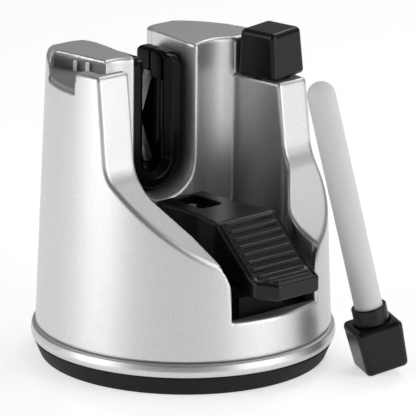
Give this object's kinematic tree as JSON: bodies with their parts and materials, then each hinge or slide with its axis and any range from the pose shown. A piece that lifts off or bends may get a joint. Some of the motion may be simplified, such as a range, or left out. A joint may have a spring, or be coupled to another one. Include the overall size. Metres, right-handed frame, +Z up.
{
  "type": "manual knife sharpener",
  "caption": "Round silver suction-base knife sharpener with a knife channel, crossed plates, a scissors notch, a ribbed suction lever and ceramic rods with cube knobs.",
  "frame": {"origin": "middle of the rubber foot, on the table", "axes": "+Z up, the user stands at -Y, +X to the user's right"},
  "size_m": [0.1039, 0.1201, 0.1077],
  "materials": {
    "silver": "satin silver metallic coat with a fine grain",
    "black_satin": "satin black",
    "black_gloss": "glossy black",
    "black_plastic": "matte black",
    "rubber": "matte black rubber",
    "ceramic": "matt white ceramic",
    "hard_metal": "ground hard metal",
    "grey_insert": "matte dark grey",
    "steel": "bright steel"
  },
  "bodies": {
    "housing": {"body_shell": "silver", "tower_shell": "silver", "base_ring": "silver", "suction_cup": "rubber", "base_plate": "black_plastic", "base_screws": "steel", "well_liner": "black_plastic", "lever_bracket": "black_plastic", "bracket_screws": "steel", "lever_axle": "steel", "cartridge_front": "black_gloss", "cartridge_rear": "black_gloss", "cartridge_screws": "steel", "plate_left": "hard_metal", "plate_right": "hard_metal", "scissor_insert": "grey_insert", "scissor_pins": "ceramic", "rod_sleeve": "black_plastic"},
    "lever": {"lever": "black_satin", "lever_grip": "black_satin"},
    "stem": {"pull_stem": "black_plastic", "stem_pin": "steel", "cup_plate": "steel", "return_spring": "steel"},
    "stored_rod": {"stored_rod": "ceramic", "stored_collar": "black_satin", "stored_knob": "black_satin"},
    "loose_rod": {"loose_rod": "ceramic", "loose_collar": "black_satin", "loose_knob": "black_satin"}
  },
  "joints": [
    {"name": "lever_press", "type": "hinge", "parent": "housing", "child": "lever", "pos_m": [0, -0.014, 0.047], "axis": [1, 0, 0], "range_deg": [0, 10], "stiffness_Nm_per_rad": 0.01, "springref_deg": -14.32},
    {"name": "stem_lift", "type": "slide", "parent": "housing", "child": "stem", "axis": [0, 0, 1], "range_m": [0, 0.00245], "deforming": ["suction_cup", "return_spring"]},
    {"name": "stored_rod_pull", "type": "slide", "parent": "housing", "child": "stored_rod", "axis": [-0.0415, 0, 0.9991], "range_m": [0, 0.09]},
    {"name": "loose_rod_lift", "type": "slide", "parent": "housing", "child": "loose_rod", "axis": [0, 0, 1], "range_m": [0, 0.1]}
  ],
  "couplings": [
    {"joint": "stem_lift", "follows": "lever_press", "m_per_rad": 0.01403}
  ]
}
